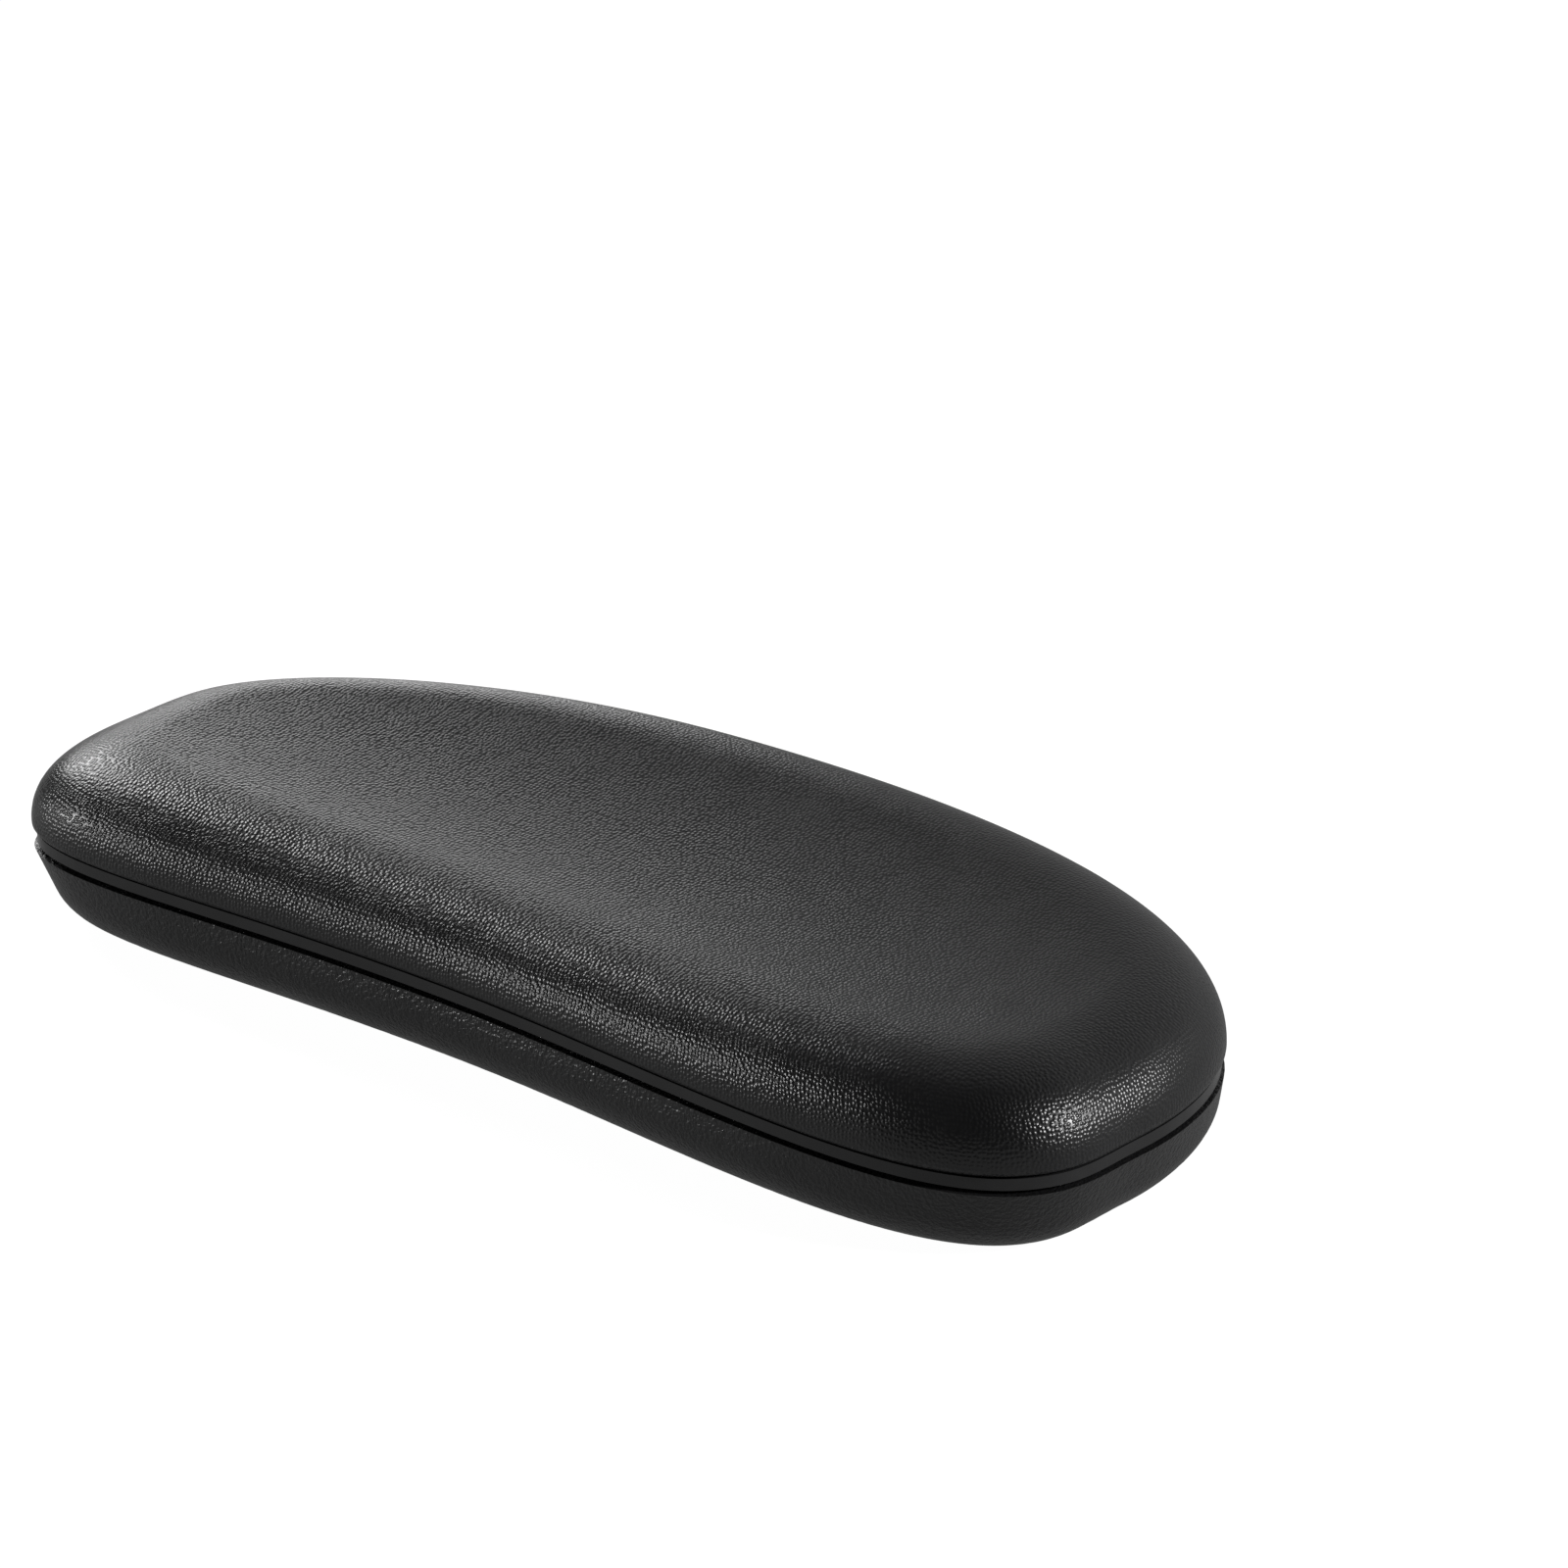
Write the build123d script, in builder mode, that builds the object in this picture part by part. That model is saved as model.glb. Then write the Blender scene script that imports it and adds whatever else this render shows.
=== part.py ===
from build123d import *
import math
import os

# Armrest pad for an office chair. A soft cushion is moulded on a rigid carrier plate, and a base
# shell is screwed to the carrier from below. Millimetres; +X is the wider front end, +Y the side
# that bows outwards, +Z up, and the origin is on the underside, below the middle of the pad.

# Plan of the rim, seen from above
rim_length = 258.0
rim_width = 101.0
front_extra_width = 22.0      # how much wider the front end is than the back end
outer_bow = 18.0              # how far the middle of the pad stands out beyond its two ends
bow_crossing = 0.63           # share of the half length where the bowed middle meets a straight one
front_inner_squareness = 2.7  # shape of each rounded corner: 2 is an ellipse, more is squarer
front_outer_squareness = 3.5
rear_inner_squareness = 4.6
rear_outer_squareness = 2.6
points_per_quarter = 7

# Base shell
base_height = 16.5
base_side_draft = 2.0         # degrees that the long sides lean in towards the bottom
base_end_draft = 18.0         # the same at the two ends
base_bow = 11.0               # the underside is straighter than the rim
base_corner = 12.5            # rounding between the side and the flat underside
base_wall = 2.4
base_floor = 2.6
base_rib_height = 3.0
base_rib_thickness = 1.6
mouth_clearance = 0.3         # gap around each insert boss in the underside

# Carrier plate
groove_gap = 0.9              # shadow gap between the base shell and the carrier's rim
carrier_thickness = 2.4
carrier_rim_step = 0.5        # how far the carrier's rim stands back from the base shell's edge
skirt_depth = 4.5
skirt_thickness = 1.8
skirt_clearance = 0.3
carrier_rib_depth = 4.5
carrier_rib_thickness = 1.8
rib_pitch_along = 36.0
rib_pitch_across = 24.0

# Cushion
cushion_height = 20.0         # at the outer side, which is the higher one
outer_rise = 3.5              # how much the top falls from the outer side to the inner side
cushion_overhang = 1.0        # how far the cushion's side bulges beyond the rim
shoulder_radius = 9.0
lower_edge_radius = 3.5
skin_thickness = 1.4
skin_lip = 7.0                # width of the skin that is turned in between foam and carrier
bond_line = 0.05

# Threaded inserts for the chair's M6 bolts
insert_spacing_along = 100.0
insert_spacing_across = 40.0
insert_centre_across = 4.0    # the pattern sits on the middle of the bowed plan
insert_barrel = 9.0
insert_thread_bore = 5.0      # minor diameter of the M6 thread
insert_thread_depth = 13.0
insert_mouth_chamfer = 0.5
insert_flange = 13.0
insert_flange_thickness = 1.5
insert_groove_depth = 0.6
insert_groove_width = 1.6
insert_groove_pitch = 4.0
insert_boss = 14.0

# Tray screws, 3.5 mm self-tapping
screw_thread = 3.5
screw_core = 2.7
screw_pitch = 1.3
screw_length = 9.5
screw_tip = 2.0
screw_head = 7.0
screw_head_height = 2.4
screw_head_rounding = 1.4
screw_recess = 3.6            # size across of the cross recess
screw_recess_blade = 0.9
screw_recess_depth = 1.5
screw_cover = 1.5             # plastic left between the screw's tip and the cushion
screw_seat = 2.0              # thickness of the seat that the head clamps
screw_clearance = 0.25
head_clearance = 0.5
screw_post_wall = 2.0
post_margin = 1.0             # from a screw post to the rounding of the underside
screw_turns = (42, 90, 138, 222, 270, 318)  # degrees around the plan, from the front end

os.makedirs("parts", exist_ok=True)

rim_underside = base_height + groove_gap
carrier_top = rim_underside + carrier_thickness
cushion_top = carrier_top + cushion_height
end_lean = base_height * math.tan(math.radians(base_end_draft))
side_lean = base_height * math.tan(math.radians(base_side_draft))
skirt_share = (skirt_depth - groove_gap) / base_height
skirt_bow_shift = abs(outer_bow - base_bow) * max(bow_crossing**2, 1 - bow_crossing**2) * skirt_share
skirt_end_inset = base_wall + end_lean * skirt_share + skirt_clearance
skirt_side_inset = base_wall + side_lean * skirt_share + skirt_bow_shift + skirt_clearance
head_seat = carrier_top - screw_cover - screw_length
post_top = head_seat + screw_seat
counterbore = screw_head + 2 * head_clearance
post_radius = counterbore / 2 + screw_post_wall
screw_inset = base_corner + post_radius + post_margin


def signed_power(value, exponent):
    return math.copysign(abs(value) ** exponent, value)


def bowed_point(turn, end_inset, side_inset, bow):
    """Point of a plan outline, set in from the rim at the ends and along the sides."""
    across, along = math.sin(turn), math.cos(turn)
    if along >= 0:
        squareness = front_outer_squareness if across >= 0 else front_inner_squareness
    else:
        squareness = rear_outer_squareness if across >= 0 else rear_inner_squareness
    x = (rim_length / 2 - end_inset) * signed_power(along, 2 / squareness)
    end_share = x / (rim_length / 2)
    half_width = rim_width / 2 - side_inset + front_extra_width / 4 * end_share
    return x, half_width * signed_power(across, 2 / squareness) + bow * (bow_crossing**2 - end_share**2)


outline_turns = [math.pi / 2 * step / points_per_quarter for step in range(4 * points_per_quarter)]
rim_sides = [bowed_point(turn, 0, 0, outer_bow)[1] for turn in outline_turns]
middle_line = (max(rim_sides) + min(rim_sides)) / 2


def plan_point(turn, end_inset, side_inset, bow):
    """The same point with the pad's middle on the X axis."""
    x, y = bowed_point(turn, end_inset, side_inset, bow)
    return x, y - middle_line


def outline_sketch(height, end_inset, side_inset, bow=outer_bow):
    """A plan outline as a flat face at one height."""
    with BuildSketch(Plane.XY.offset(height)) as outline:
        with BuildLine():
            Spline(
                *[plan_point(turn, end_inset, side_inset, bow) for turn in outline_turns],
                periodic=True,
            )
        make_face()
    return outline.sketch


def plan_sketch(height, inset):
    """The rim's outline at one height, set in evenly."""
    return outline_sketch(height, inset, inset)


def tray_sketch(height, wall):
    """The base shell's outline at one height, inside its wall."""
    share = (base_height - height) / base_height
    bow = outer_bow + (base_bow - outer_bow) * share
    return outline_sketch(height, wall + end_lean * share, wall + side_lean * share, bow)


def tray_solid(wall, floor_height):
    """The base shell's outside, or its inside when it is given a wall and a floor."""
    with BuildPart() as tray:
        loft([tray_sketch(base_height, wall), tray_sketch(floor_height, wall)], ruled=True)
        fillet(tray.edges().group_by(Axis.Z)[0], base_corner - wall / 2)
    return tray.part


def cushion_solid(wall):
    """The cushion's outside, or the foam's when it is given the skin's thickness."""
    top_plane = Plane((0, rim_width / 2, cushion_top - wall)).rotated(
        (math.degrees(math.atan(outer_rise / rim_width)), 0, 0)
    )
    with BuildPart() as cushion:
        extrude(plan_sketch(carrier_top + wall, wall - cushion_overhang), amount=2 * cushion_height)
        split(bisect_by=top_plane, keep=Keep.BOTTOM)
        fillet(cushion.faces().sort_by(Axis.Z)[-1].edges(), shoulder_radius - wall)
        fillet(cushion.faces().sort_by(Axis.Z)[0].edges(), lower_edge_radius - wall)
    return cushion.part


def skirt_block(inset):
    """The space inside the carrier's skirt, or the skirt's outside, down from the rim's underside."""
    bottom = rim_underside - skirt_depth
    with BuildPart() as block:
        extrude(outline_sketch(bottom, skirt_end_inset + inset, skirt_side_inset + inset), amount=skirt_depth)
    return block.part


def rib_grid(limit, height, depth, thickness):
    """Crossing ribs between height and height plus depth, trimmed to the solid that limits them."""
    columns = 2 * math.floor(rim_length / 2 / rib_pitch_along) + 1
    rows = 2 * math.floor(rim_width / 2 / rib_pitch_across) + 1
    with BuildPart() as ribs:
        add(limit)
        with BuildSketch(Plane.XY.offset(height)):
            with GridLocations(rib_pitch_along, 0, columns, 1):
                Rectangle(thickness, 2 * rim_width)
            with GridLocations(0, rib_pitch_across, 1, rows):
                Rectangle(rim_length, thickness)
        extrude(amount=depth, mode=Mode.INTERSECT)
    return ribs.part


insert_places = [
    (along * insert_spacing_along / 2, insert_centre_across + across * insert_spacing_across / 2)
    for along in (-1, 1)
    for across in (-1, 1)
]
screw_places = [
    plan_point(math.radians(turn), end_lean + screw_inset, side_lean + screw_inset, base_bow)
    for turn in screw_turns
]

# Cushion skin: a moulded polyurethane shell, turned in under the foam as a lip
foam_inset = skin_thickness + bond_line
with BuildPart() as cushion_skin:
    add(cushion_solid(0))
    add(cushion_solid(skin_thickness), mode=Mode.SUBTRACT)
    extrude(plan_sketch(carrier_top, skin_lip), amount=skin_thickness, mode=Mode.SUBTRACT)
cushion_skin.part.label = "cushion_skin"

# Foam core: fills the skin and meets the carrier through the opening inside the lip
with BuildPart() as foam_core:
    add(cushion_solid(foam_inset))
    extrude(plan_sketch(carrier_top, skin_lip + bond_line), amount=foam_inset)
foam_core.part.label = "foam_core"

# Threaded insert: closed at the top against the foam, its flange pulled down on the carrier
barrel_radius = insert_barrel / 2
with BuildPart() as insert_body:
    with BuildSketch(Plane.XY):
        Circle(barrel_radius)
    extrude(amount=carrier_top)
    with BuildSketch(Plane.XY.offset(carrier_top - insert_flange_thickness)):
        Circle(insert_flange / 2)
    extrude(amount=insert_flange_thickness)
    for groove in (1, 2, 3):
        with BuildSketch(Plane.XY.offset(groove * insert_groove_pitch - insert_groove_width / 2)):
            Circle(barrel_radius + insert_groove_depth)
            Circle(barrel_radius - insert_groove_depth, mode=Mode.SUBTRACT)
        extrude(amount=insert_groove_width, mode=Mode.SUBTRACT)

with BuildPart() as threaded_insert:
    add(insert_body.part)
    with BuildSketch(Plane.XY):
        Circle(insert_thread_bore / 2)
    extrude(amount=insert_thread_depth, mode=Mode.SUBTRACT)
    mouth = threaded_insert.faces().sort_by(Axis.Z)[0].inner_wires()[0].edges()
    chamfer(mouth, insert_mouth_chamfer)

# Carrier plate: its rim shows in the groove; the skirt fits inside the base shell
with BuildPart() as carrier_plate:
    extrude(plan_sketch(rim_underside, carrier_rim_step), amount=carrier_thickness)
    add(skirt_block(0))
    add(skirt_block(skirt_thickness), mode=Mode.SUBTRACT)
    rib_space = skirt_block(skirt_thickness / 2)
    rib_bottom = rim_underside - carrier_rib_depth
    add(rib_grid(rib_space, rib_bottom, carrier_rib_depth, carrier_rib_thickness))
    with BuildSketch(Plane.XY):
        with Locations(*insert_places):
            Circle(insert_boss / 2)
    extrude(amount=rim_underside)
    with BuildSketch(Plane.XY.offset(post_top)):
        with Locations(*screw_places):
            Circle(screw_thread / 2 + screw_post_wall)
    extrude(amount=rim_underside - post_top)
    with BuildSketch(Plane.XY.offset(post_top)):
        with Locations(*screw_places):
            Circle(screw_thread / 2)
    extrude(amount=head_seat + screw_length - post_top, mode=Mode.SUBTRACT)
    with Locations(*insert_places):
        add(insert_body.part, mode=Mode.SUBTRACT)
carrier_plate.part.label = "carrier_plate"

# Base shell: a drafted tray with screw posts, floor ribs and a mouth for each insert boss
with BuildPart() as base_shell:
    add(tray_solid(0, 0))
    add(tray_solid(base_wall, base_floor), mode=Mode.SUBTRACT)
    rib_space = tray_solid(base_wall / 2, base_floor / 2)
    add(rib_grid(rib_space, 0, base_floor + base_rib_height, base_rib_thickness))
    with BuildSketch(Plane.XY):
        with Locations(*screw_places):
            Circle(post_radius)
    extrude(amount=post_top)
    with BuildSketch(Plane.XY):
        with Locations(*screw_places):
            Circle(counterbore / 2)
    extrude(amount=head_seat, mode=Mode.SUBTRACT)
    with BuildSketch(Plane.XY):
        with Locations(*screw_places):
            Circle(screw_thread / 2 + screw_clearance)
        with Locations(*insert_places):
            Circle(insert_boss / 2 + mouth_clearance)
    extrude(amount=post_top, mode=Mode.SUBTRACT)
base_shell.part.label = "base_shell"

# Tray screw: pan head with a cross recess, ringed shank and a conical tip
shank_end = screw_length - screw_tip
ring_count = math.floor(shank_end / screw_pitch)
with BuildPart() as tray_screw:
    with BuildSketch(Plane.XZ):
        with BuildLine():
            thread = [(0, screw_length), (screw_core / 2, shank_end)]
            for ring in range(ring_count, 0, -1):
                thread.append((screw_thread / 2, (ring - 0.5) * screw_pitch))
                thread.append((screw_core / 2, (ring - 1) * screw_pitch))
            Polyline(*thread, (screw_head / 2, 0))
            Polyline(
                (screw_head / 2, 0),
                (screw_head / 2, -screw_head_height),
                (0, -screw_head_height),
                (0, screw_length),
            )
        make_face()
    revolve(axis=Axis.Z)
    fillet(tray_screw.faces().sort_by(Axis.Z)[0].edges(), screw_head_rounding)
    with BuildSketch(Plane.XY.offset(-screw_head_height)):
        Rectangle(screw_recess, screw_recess_blade)
        Rectangle(screw_recess_blade, screw_recess)
    extrude(amount=screw_recess_depth, mode=Mode.SUBTRACT)

for part in (cushion_skin.part, foam_core.part, carrier_plate.part, base_shell.part):
    export_step(part, f"parts/{part.label}.step")

for number, (x, y) in enumerate(insert_places, start=1):
    placed_insert = Pos(x, y, 0) * threaded_insert.part
    placed_insert.label = f"threaded_insert_{number}"
    export_step(placed_insert, f"parts/{placed_insert.label}.step")

for number, (x, y) in enumerate(screw_places, start=1):
    placed_screw = Pos(x, y, head_seat) * tray_screw.part
    placed_screw.label = f"tray_screw_{number}"
    export_step(placed_screw, f"parts/{placed_screw.label}.step")
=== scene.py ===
import math

import bpy
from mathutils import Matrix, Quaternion, Vector


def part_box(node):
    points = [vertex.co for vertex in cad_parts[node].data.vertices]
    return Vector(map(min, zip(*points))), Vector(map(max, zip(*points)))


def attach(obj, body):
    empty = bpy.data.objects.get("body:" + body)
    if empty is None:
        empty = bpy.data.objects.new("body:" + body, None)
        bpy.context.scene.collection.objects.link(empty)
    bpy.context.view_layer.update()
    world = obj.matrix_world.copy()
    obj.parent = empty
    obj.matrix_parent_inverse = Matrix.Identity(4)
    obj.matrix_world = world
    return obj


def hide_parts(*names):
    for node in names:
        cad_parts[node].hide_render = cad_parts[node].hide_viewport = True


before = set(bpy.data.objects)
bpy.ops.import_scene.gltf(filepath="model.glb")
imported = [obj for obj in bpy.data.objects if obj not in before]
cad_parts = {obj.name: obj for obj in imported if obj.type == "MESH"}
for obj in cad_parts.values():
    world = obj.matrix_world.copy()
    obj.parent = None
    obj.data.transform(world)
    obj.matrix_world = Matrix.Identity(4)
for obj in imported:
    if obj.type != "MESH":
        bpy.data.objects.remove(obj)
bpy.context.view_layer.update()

# Threaded inserts: four turned brass nuts, pressed into the carrier from its top face. Their
# flanges are pulled down on the carrier when the chair's bolts go in from below, and only
# their lower ends show, inside the round mouths of the base shell.

def node_maker(tree):
    """Makes one node of a tree, with its settings and input values, and wires what feeds it."""

    def make(kind, settings=None, **inputs):
        node = tree.nodes.new(kind)
        for name, value in (settings or {}).items():
            setattr(node, name, value)
        for name, value in inputs.items():
            socket = node.inputs[int(name[1:]) if name[1:].isdigit() else name.replace("_", " ")]
            if isinstance(value, bpy.types.NodeSocket):
                tree.links.new(value, socket)
            else:
                socket.default_value = value
        return node

    return make


def new_group(name, inputs, outputs):
    """An empty shader node group with its named inputs and outputs."""
    group = bpy.data.node_groups.new(name, "ShaderNodeTree")
    for label, kind, value in inputs:
        kind = "NodeSocket" + kind
        socket = group.interface.new_socket(name=label, in_out="INPUT", socket_type=kind)
        if value is not None:
            socket.default_value = value
    for label, kind in outputs:
        group.interface.new_socket(name=label, in_out="OUTPUT", socket_type="NodeSocket" + kind)
    inlet = group.nodes.new("NodeGroupInput")
    outlet = group.nodes.new("NodeGroupOutput")
    return group, node_maker(group), inlet.outputs, outlet.inputs


# Clouding: the slow change of colour and gloss over any moulded or machined face
clouding, make, inlet, outlet = new_group(
    "clouding",
    [("Colour", "Color", None), ("Roughness", "Float", 0.4), ("Scale", "Float", 60.0),
     ("Colour Change", "Float", 0.2), ("Roughness Change", "Float", 0.1)],
    [("Colour", "Color"), ("Roughness", "Float")],
)
place = make("ShaderNodeTexCoord").outputs["Object"]
cloud = make("ShaderNodeTexNoise", Vector=place, Scale=inlet["Scale"], Detail=4.0, Roughness=0.6)
swing = make("ShaderNodeMapRange", Value=cloud.outputs["Fac"],
             From_Min=0.3, From_Max=0.7, To_Min=-1.0)
tone = make("ShaderNodeMath", {"operation": "MULTIPLY_ADD"},
            _0=swing.outputs[0], _1=inlet["Colour Change"], _2=1.0)
shade = make("ShaderNodeVectorMath", {"operation": "SCALE"}, Vector=inlet["Colour"], Scale=tone.outputs[0])
gloss = make("ShaderNodeMath", {"operation": "MULTIPLY_ADD", "use_clamp": True},
             _0=swing.outputs[0], _1=inlet["Roughness Change"], _2=inlet["Roughness"])
clouding.links.new(shade.outputs[0], outlet["Colour"])
clouding.links.new(gloss.outputs[0], outlet["Roughness"])


def new_finish(name, colour, roughness, **clouds):
    """A material with clouded colour and gloss, its node maker and its surface shader."""
    material = bpy.data.materials.new(name)
    material.use_nodes = True
    make = node_maker(material.node_tree)
    coat = make("ShaderNodeGroup", {"node_tree": clouding},
                Colour=(*colour, 1), Roughness=roughness, **clouds)
    surface = material.node_tree.nodes["Principled BSDF"]
    material.node_tree.links.new(coat.outputs["Colour"], surface.inputs["Base Color"])
    material.node_tree.links.new(coat.outputs["Roughness"], surface.inputs["Roughness"])
    return material, make, surface


def dress(node, material):
    """Puts one material on a node of the frame."""
    node.data.materials.clear()
    node.data.materials.append(material)


insert_brass, make, surface = new_finish("turned_brass", (0.60, 0.42, 0.17), 0.32,
                                         Scale=400.0, Colour_Change=0.12, Roughness_Change=0.10)
place = make("ShaderNodeTexCoord").outputs["Object"]
turning = make("ShaderNodeTexWave", {"bands_direction": "Z", "wave_profile": "SAW"}, Vector=place,
               Scale=900.0, Distortion=0.6, Detail=1.0)
tool_lines = make("ShaderNodeBump", Height=turning.outputs["Fac"], Strength=0.25, Distance=0.00004)
surface.inputs["Metallic"].default_value = 1.0
insert_brass.node_tree.links.new(tool_lines.outputs[0], surface.inputs["Normal"])

for number in (1, 2, 3, 4):
    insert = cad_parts[f"threaded_insert_{number}"]
    dress(insert, insert_brass)

# Carrier plate: the stiff moulding that the cushion is cast on and the chair is bolted to. It is
# smooth black ABS, and its rim is the plain band in the groove under the cushion.
carrier_black, make, surface = new_finish("carrier_black", (0.014, 0.014, 0.0145), 0.22,
                                          Scale=90.0, Colour_Change=0.25, Roughness_Change=0.03)
place = make("ShaderNodeTexCoord").outputs["Object"]
flow = make("ShaderNodeTexNoise", Vector=place, Scale=260.0, Detail=2.0)
sinks = make("ShaderNodeBump", Height=flow.outputs["Fac"], Strength=0.3, Distance=0.00006)
carrier_black.node_tree.links.new(sinks.outputs[0], surface.inputs["Normal"])
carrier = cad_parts["carrier_plate"]
dress(carrier, carrier_black)

# Cushion: polyurethane foam moulded on the carrier under its own denser skin. Its side leans in a
# little and rolls over a full shoulder into a shallow scooped top, which rises to the outer side
# and to both ends. The foam body comes first, then the skin round it.
skin_thickness = 0.0014
lip_width = 0.007
bond_line = 0.00005
side_overhang = 0.0008         # how far the side stands out past the rim
lower_edge = 0.002             # rounding under the edge of the side
shoulder_reach = 0.021         # inset from the side to the top
shoulder_bulge = 0.0014        # fullness of the roll over the shoulder
shoulder_lean = 0.0025         # the part of the reach that the side leans in by
half_width = 0.0505
bow = 0.018                    # how far the plan is bowed to the outer side
bow_shift = 0.01595
top_middle = 0.0146            # the top's height above the carrier, and how it changes
fall_to_front = 0.0008
rise_to_outer = 0.0022
rise_to_ends = 0.0045
scoop_depth = 0.0060
scoop_twist = 0.0012
scoop_shift = 0.0054
outline_height = 0.006         # above the carrier, where the outline is read
outline_samples = 1440
outline_start = 0.4            # well clear of the pad, where the lines set out
outline_passes = 4
steps_round = 360
edge_steps = 6
shoulder_steps = 33
shoulder_crowding = 1.1        # over 1, the rings crowd together low on the side
top_steps = 14
top_end = 0.0015               # from the last ring of the top to the middle line
closing_gap = 0.001            # the same for any ring

carrier_low, carrier_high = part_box("carrier_plate")
seat_height = carrier_high.z
half_length = (carrier_high.x - carrier_low.x) / 2


def smooth_loop(values, passes):
    """A closed run of numbers with its small steps evened out."""
    count = len(values)
    for _ in range(passes):
        values = [(values[i - 1] + 2 * values[i] + values[(i + 1) % count]) / 4 for i in range(count)]
    return values


def read_outline(node, height, samples):
    """The outline of a frame node at one height, met by straight lines from all round it."""
    middle = Vector((0, 0, height))
    outline = []
    for step in range(samples):
        angle = 2 * math.pi * step / samples
        outward = Vector((math.cos(angle) * half_length, math.sin(angle) * half_width, 0))
        outward.normalize()
        outline.append(node.ray_cast(middle + outward * outline_start, -outward)[1])
    return outline


def even_loop(points, count):
    """The same closed line with its points evenly spaced along it, from the front end."""
    spans = [(points[(i + 1) % len(points)] - points[i]).length for i in range(len(points))]
    evened, i, walked = [], 0, 0.0
    for step in range(count):
        target = sum(spans) * step / count
        while walked + spans[i] < target:
            walked += spans[i]
            i += 1
        evened.append(points[i].lerp(points[(i + 1) % len(points)], (target - walked) / spans[i]))
    return evened


cad_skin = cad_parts["cushion_skin"]
side_line = even_loop(read_outline(cad_skin, seat_height + outline_height, outline_samples), steps_round)
side_x = smooth_loop([point.x for point in side_line], outline_passes)
side_y = smooth_loop([point.y for point in side_line], outline_passes)
cad_overhang = max(side_x) - half_length
step_along = sum((side_line[i - 1] - side_line[i]).length for i in range(steps_round)) / steps_round


def bow_line(x):
    """Where the middle of the bowed plan lies at x."""
    return bow * (1 - (x / half_length) ** 2) - bow_shift


def inset_point(i, inset):
    """Point i of the side line, moved in towards the middle of the plan."""
    inset += cad_overhang
    x = side_x[i] * (1 - inset / half_length)
    y = bow_line(x) + (side_y[i] - bow_line(side_x[i])) * (1 - inset / half_width)
    return x, y


def top_height(x, y):
    """Height of the scooped top above the carrier."""
    u = x / half_length
    v = (y + scoop_shift) / half_width
    slope = rise_to_outer * v - fall_to_front * u
    return top_middle + slope + rise_to_ends * u * u - scoop_twist * u * v + scoop_depth * v * v


def cushion_section():
    """Rings of the cushion's outer face, from under its edge to the middle of the top.

    Each is an inset from the rim, a height above the seat, and a share of the way to the top."""
    rings = []
    for step in range(edge_steps):
        turn = math.pi / 2 * step / edge_steps
        inset = lower_edge * (1 - math.sin(turn)) - side_overhang
        rings.append((inset, lower_edge * (1 - math.cos(turn)), 0))
    for step in range(shoulder_steps + 1):
        turn = math.pi / 2 * (step / shoulder_steps) ** shoulder_crowding
        lean = shoulder_lean * math.sin(turn)
        roll = (shoulder_reach - shoulder_lean) * (1 - math.cos(turn))
        bulge = shoulder_bulge * math.sin(2 * turn)
        rings.append((lean + roll - bulge - side_overhang, lower_edge, math.sin(turn)))
    first = rings[-1][0]
    last = half_width - top_end
    for step in range(1, top_steps + 1):
        rings.append((first + (last - first) * step / top_steps, lower_edge, 1))
    return rings


def cushion_rings(depth):
    """The section swept round the plan, at a depth under the cushion's outer face."""
    swept = []
    for inset, rise, share in cushion_section():
        ring = []
        for i in range(steps_round):
            x, y = inset_point(i, min(inset + depth, half_width - closing_gap))
            top = top_height(x, y)
            height = rise + (top - lower_edge) * share
            ring.append((x, y, seat_height + depth + height * (top - 2 * depth) / top))
        swept.append(ring)
    return swept


def flat_ring(inset, height):
    """One level ring, at an inset from the rim."""
    return [(*inset_point(i, inset), height) for i in range(steps_round)]


def ringed_mesh(name, rings, first_closed, last_closed):
    """A mesh through closed rings; an end ring is drawn together on the middle line to close it."""
    points = [point for ring in rings for point in ring]
    faces = []
    for r in range(len(rings) - 1):
        for i in range(steps_round):
            j = (i + 1) % steps_round
            low, high = r * steps_round, (r + 1) * steps_round
            faces.append((low + i, low + j, high + j, high + i))
    for closed, r in ((first_closed, 0), (last_closed, len(rings) - 1)):
        if closed:
            for i in range(steps_round // 2):
                ends = (i, i + 1, (steps_round - i - 1) % steps_round, (steps_round - i) % steps_round)
                face = [r * steps_round + k for k in dict.fromkeys(ends)]
                faces.append(face if r else face[::-1])
    mesh = bpy.data.meshes.new(name)
    mesh.from_pydata(points, [], faces)
    mesh.shade_smooth()
    mesh.set_sharp_from_angle(angle=math.radians(50))
    piece = bpy.data.objects.new(name, mesh)
    bpy.context.scene.collection.objects.link(piece)
    return piece


foam_depth = skin_thickness + bond_line
foam_rings = []
for inset in (half_width - closing_gap, 0.04, 0.03, 0.02, 0.012, lip_width + bond_line):
    foam_rings.append(flat_ring(inset, seat_height))
foam_rings.append(flat_ring(lip_width + bond_line, seat_height + foam_depth))
foam = ringed_mesh("cushion_foam", foam_rings + cushion_rings(foam_depth), True, True)

foam_black, make, surface = new_finish("integral_foam", (0.035, 0.035, 0.037), 0.85,
                                       Scale=120.0, Colour_Change=0.2, Roughness_Change=0.08)
place = make("ShaderNodeTexCoord").outputs["Object"]
cells = make("ShaderNodeTexVoronoi", Vector=place, Scale=1600.0)
pores = make("ShaderNodeBump", Height=cells.outputs["Distance"], Strength=0.7, Distance=0.0002)
foam_black.node_tree.links.new(pores.outputs[0], surface.inputs["Normal"])
foam.data.materials.append(foam_black)
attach(foam, "root")
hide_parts("foam_core")

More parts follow.
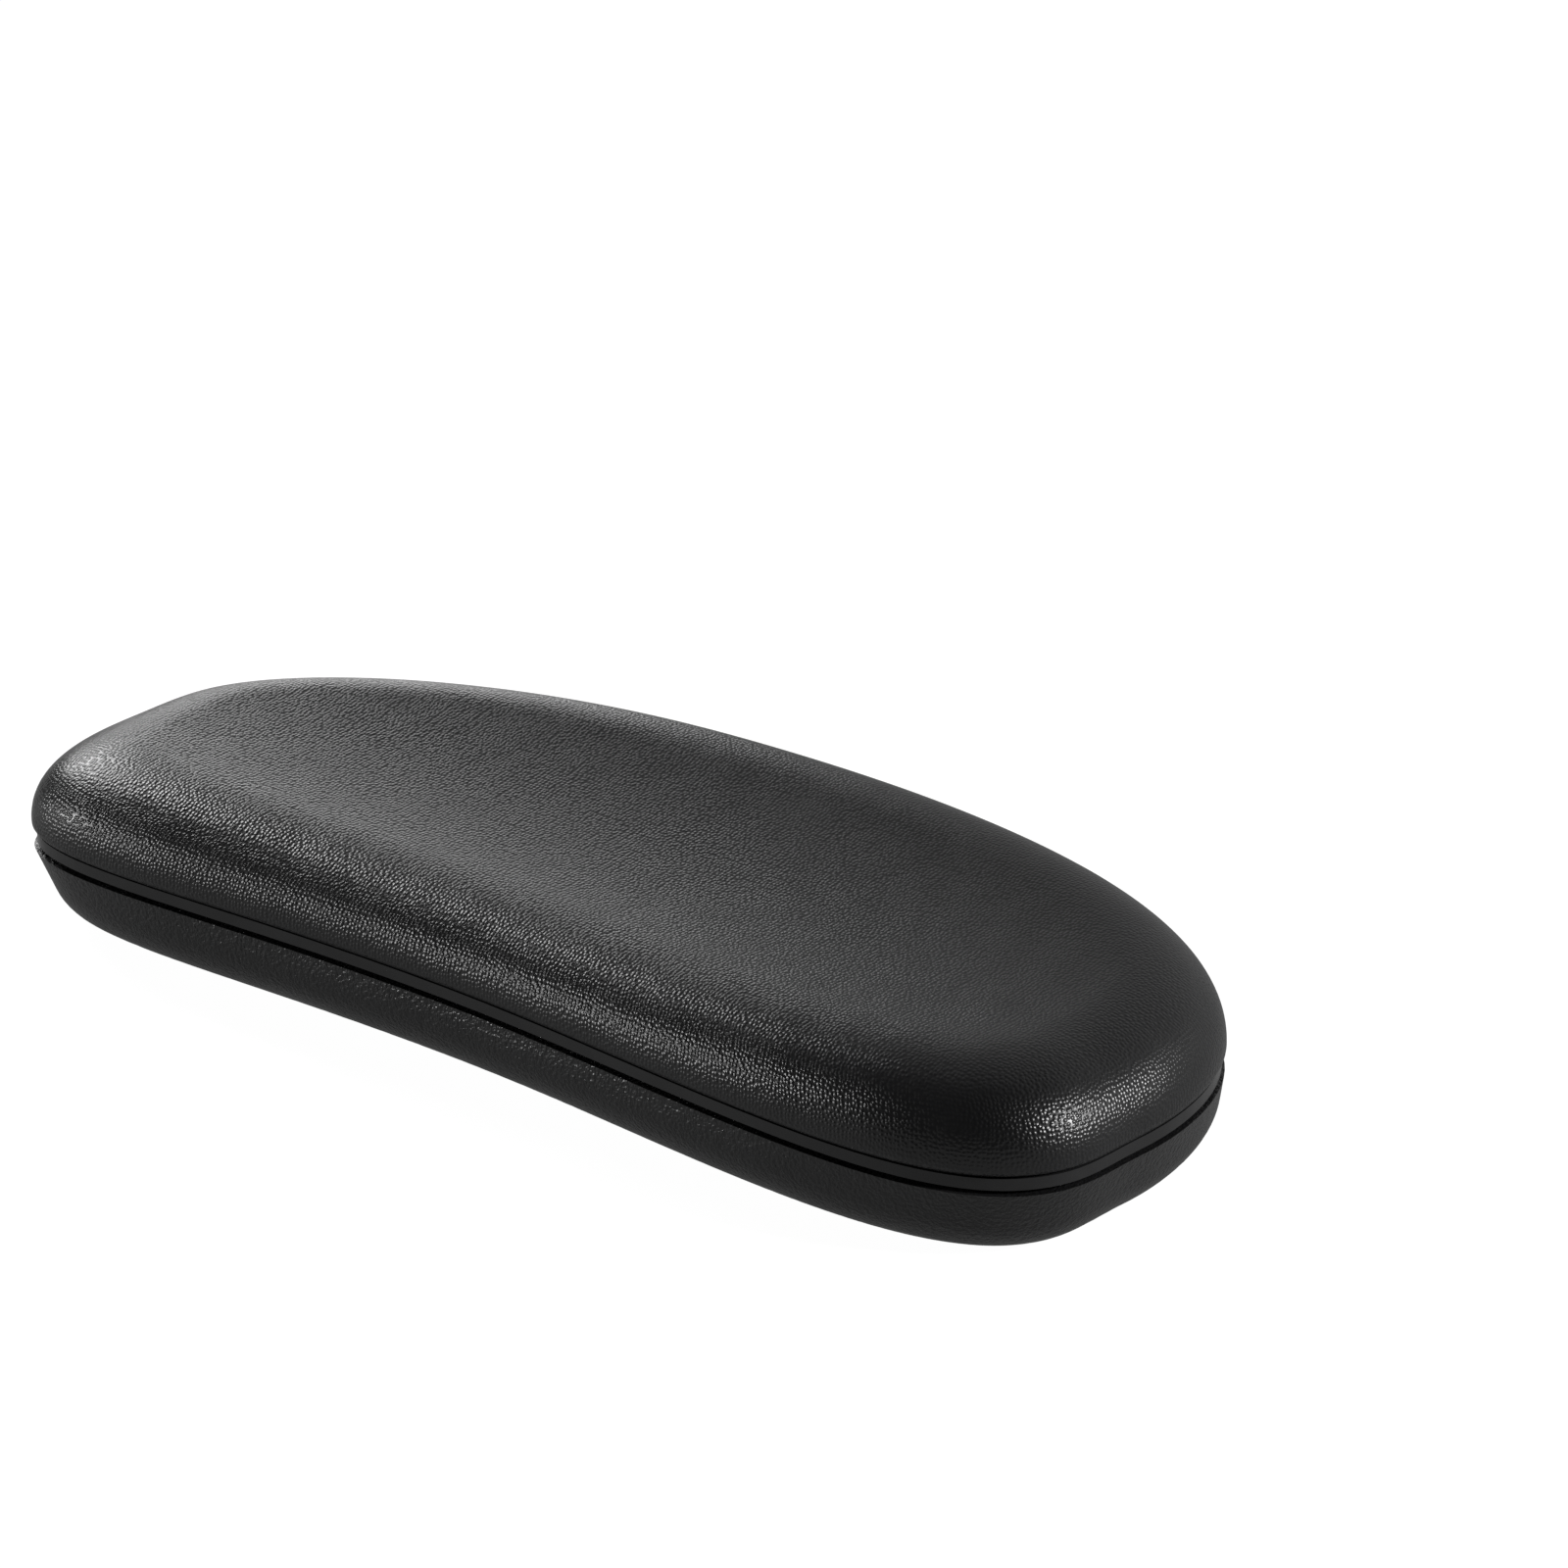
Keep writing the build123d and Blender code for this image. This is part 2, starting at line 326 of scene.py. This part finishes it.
# Cushion skin: the dense outer layer, turned in under the foam as a lip. Its face carries the
# mould's fine pebble grain, close and even, with a satin sheen; the pebbles follow the side round
# the pad and run into the pattern of the top over the shoulder.
outer_rings = cushion_rings(0)
inner_rings = cushion_rings(skin_thickness)
lip_rings = [flat_ring(lip_width, seat_height + skin_thickness), flat_ring(lip_width, seat_height)]
skin = ringed_mesh("cushion_cover", inner_rings[::-1] + lip_rings + outer_rings, True, True)

grain_pitch = 0.00087
grain_depth = 0.00008
grain_disorder = 0.6
grain_wander = 0.0010          # how far the rows of pebbles drift out of line
grain_turn = 0.0035            # inset where the side's grain begins to give way to the top's
grain_blend = 0.003            # and the width over which it does
grain_place = skin.data.attributes.new("grain_place", "FLOAT_VECTOR", "CORNER")
first_outer = len(inner_rings) + len(lip_rings)
insets = [ring[0] for ring in cushion_section()]
climb = [[0.0] * steps_round]
for low, high in zip(outer_rings, outer_rings[1:]):
    climb.append([climb[-1][i] + math.dist(low[i], high[i]) for i in range(steps_round)])
places = []
for face in skin.data.polygons:
    around = [vertex % steps_round for vertex in face.vertices]
    crosses = max(around) - min(around) > steps_round // 2
    for vertex, i in zip(face.vertices, around):
        r = vertex // steps_round - first_outer
        if r < 0:
            places += (0.0, 0.0, 0.0)
        else:
            steps = steps_round if crosses and i == 0 else i
            crossing = min(max((insets[r] - grain_turn) / grain_blend, 0), 1)
            places += (steps * step_along, climb[r][i], crossing)
grain_place.data.foreach_set("vector", places)

# Pebbles: one moulded grain, close even cells that wander a little out of line
pebbles, make, inlet, outlet = new_group(
    "pebbles",
    [("Place", "Vector", None), ("Pitch", "Float", 0.001), ("Disorder", "Float", 0.7)],
    [("Height", "Float")],
)
drift = make("ShaderNodeTexNoise", {"noise_dimensions": "2D"}, Vector=inlet["Place"],
             Scale=110.0, Detail=0.0)
wander = make("ShaderNodeVectorMath", {"operation": "MULTIPLY_ADD"}, _0=drift.outputs["Color"],
              _1=(grain_wander, grain_wander, 0), _2=inlet["Place"])
fineness = make("ShaderNodeMath", {"operation": "DIVIDE"}, _0=1.0, _1=inlet["Pitch"])
cells = make("ShaderNodeTexVoronoi", {"voronoi_dimensions": "2D"}, Vector=wander.outputs[0],
             Scale=fineness.outputs[0], Randomness=inlet["Disorder"])
dome = make("ShaderNodeMapRange", {"interpolation_type": "SMOOTHSTEP"}, Value=cells.outputs["Distance"],
            From_Min=0.05, From_Max=0.62, To_Min=1.0, To_Max=0.0)
pebbles.links.new(dome.outputs[0], outlet["Height"])

skin_black, make, surface = new_finish("pebbled_skin", (0.010, 0.010, 0.0105), 0.32,
                                       Scale=45.0, Colour_Change=0.15, Roughness_Change=0.03)
place = make("ShaderNodeTexCoord").outputs["Object"]
side_place = make("ShaderNodeAttribute", {"attribute_name": "grain_place"}).outputs["Vector"]
crossing = make("ShaderNodeSeparateXYZ", Vector=side_place).outputs["Z"]
side_grain = make("ShaderNodeGroup", {"node_tree": pebbles}, Place=side_place,
                  Pitch=grain_pitch, Disorder=grain_disorder)
top_grain = make("ShaderNodeGroup", {"node_tree": pebbles}, Place=place,
                 Pitch=grain_pitch, Disorder=grain_disorder)
grain = make("ShaderNodeMix", {"data_type": "FLOAT"},
             _0=crossing, _2=side_grain.outputs[0], _3=top_grain.outputs[0])
bumps = make("ShaderNodeBump", Height=grain.outputs[0], Strength=1.0, Distance=grain_depth)
skin_black.node_tree.links.new(bumps.outputs[0], surface.inputs["Normal"])
skin.data.materials.append(skin_black)
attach(skin, "root")
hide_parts("cushion_skin")

# Base shell: the drafted tray that closes the pad from below, injection moulded in black
# polypropylene with a fine spark-eroded grain, and held to the carrier by six screws.
shell_black, make, surface = new_finish("grained_shell", (0.010, 0.010, 0.0105), 0.35,
                                        Scale=70.0, Colour_Change=0.2, Roughness_Change=0.05)
place = make("ShaderNodeTexCoord").outputs["Object"]
spark = make("ShaderNodeTexNoise", Vector=place, Scale=1250.0, Detail=1.0, Roughness=0.6)
texture = make("ShaderNodeBump", Height=spark.outputs["Fac"], Strength=1.0, Distance=0.00034)
shell_black.node_tree.links.new(texture.outputs[0], surface.inputs["Normal"])
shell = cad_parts["base_shell"]
dress(shell, shell_black)

# Tray screws: six self-tapping pan-head screws in black-finished steel, driven up from below
# through the shell's posts into the carrier. Only their heads show, down in the counterbores.
screw_black, make, surface = new_finish("blackened_steel", (0.05, 0.05, 0.055), 0.36,
                                        Scale=500.0, Colour_Change=0.3, Roughness_Change=0.1)
surface.inputs["Metallic"].default_value = 0.9
for number in (1, 2, 3, 4, 5, 6):
    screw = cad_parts[f"tray_screw_{number}"]
    dress(screw, screw_black)

# Studio: a white table lit from within and a backdrop that is brightest on the outer side. Both
# show white, and throw less light on the pad than they show. Four soft boxes do the rest, three
# round the rear end and one at the front.
table_reach = 4.0
table_top = -0.0002            # just under the pad, so that no two faces coincide
table_glow = 0.2
table_seen = 0.98
backdrop_low = 0.01
backdrop_high = 0.41
table_mesh = bpy.data.meshes.new("table")
corners = [(x * table_reach, y * table_reach, table_top) for x, y in ((-1, -1), (1, -1), (1, 1), (-1, 1))]
table_mesh.from_pydata(corners, [], [(0, 1, 2, 3)])
table = bpy.data.objects.new("table", table_mesh)
bpy.context.scene.collection.objects.link(table)
table_white = bpy.data.materials.new("lit_table")
table_white.use_nodes = True
surface = table_white.node_tree.nodes["Principled BSDF"]
surface.inputs["Base Color"].default_value = (0.1, 0.1, 0.1, 1)
surface.inputs["Roughness"].default_value = 0.9
surface.inputs["Emission Color"].default_value = (1, 1, 1, 1)
make = node_maker(table_white.node_tree)
seen = make("ShaderNodeLightPath").outputs["Is Camera Ray"]
glow = make("ShaderNodeMapRange", Value=seen, To_Min=table_glow, To_Max=table_seen)
table_white.node_tree.links.new(glow.outputs[0], surface.inputs["Emission Strength"])
table_mesh.materials.append(table_white)

world = bpy.data.worlds.new("studio")
world.use_nodes = True
background = world.node_tree.nodes["Background"]
background.inputs["Color"].default_value = (1, 1, 1, 1)
make = node_maker(world.node_tree)
facing = make("ShaderNodeTexCoord").outputs["Generated"]
outer_side = make("ShaderNodeSeparateXYZ", Vector=facing).outputs["Y"]
backdrop = make("ShaderNodeMapRange", Value=outer_side, To_Min=backdrop_low, To_Max=backdrop_high)
seen = make("ShaderNodeLightPath").outputs["Is Camera Ray"]
brightness = make("ShaderNodeMath", {"operation": "MAXIMUM"}, _0=backdrop.outputs[0], _1=seen)
world.node_tree.links.new(brightness.outputs[0], background.inputs["Strength"])
bpy.context.scene.world = world
bpy.context.scene.view_settings.view_transform = "Standard"

lit_point = Vector((0, 0, 0.025))


def from_angles(azimuth, elevation):
    """Direction out from the pad; azimuth 0 is the inner side, 90 the front end."""
    a, e = math.radians(azimuth), math.radians(elevation)
    return Vector((math.sin(a) * math.cos(e), -math.cos(a) * math.cos(e), math.sin(e)))


def soft_box(name, azimuth, elevation, distance, wide, high, watts):
    """A lit panel that faces the pad and stays out of sight."""
    light = bpy.data.lights.new(name, "AREA")
    light.shape = "RECTANGLE"
    light.size = wide
    light.size_y = high
    light.energy = watts
    box = bpy.data.objects.new(name, light)
    outward = from_angles(azimuth, elevation)
    box.location = lit_point + outward * distance
    box.rotation_mode = "QUATERNION"
    box.rotation_quaternion = outward.to_track_quat("Z", "Y")
    box.visible_camera = False
    bpy.context.scene.collection.objects.link(box)


soft_box("low_box", -130, 9, 0.5, 0.2, 0.12, 0.24)
soft_box("rear_box", -100, 28, 0.5, 0.2, 0.12, 1.1)
soft_box("side_box", -54, 9, 2.0, 0.14, 0.22, 13)
soft_box("front_box", 105, 28, 2.0, 0.3, 0.34, 36)

camera_data = bpy.data.cameras.new("camera")
camera_data.sensor_width = 36
camera_data.lens = 156.0
camera_data.clip_end = 20
camera_azimuth = 39.4
camera_elevation = 25.0
camera_distance = 1.316
camera_roll = -0.7
aim_inward = 0.0054
aside = 0.0291                 # to the right of the pad, which then lies left in the frame
above = 0.0303                 # and over it, which puts it low
camera = bpy.data.objects.new("camera", camera_data)
out = from_angles(camera_azimuth, camera_elevation)
right = from_angles(camera_azimuth + 90, 0)
up = out.cross(right)
aim = Vector((0, -aim_inward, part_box("base_shell")[1].z))
camera.location = aim + out * camera_distance + right * aside + up * above
camera.rotation_mode = "QUATERNION"
roll = Quaternion((0, 0, 1), math.radians(camera_roll))
camera.rotation_quaternion = out.to_track_quat("Z", "Y") @ roll
bpy.context.scene.collection.objects.link(camera)
bpy.context.scene.camera = camera
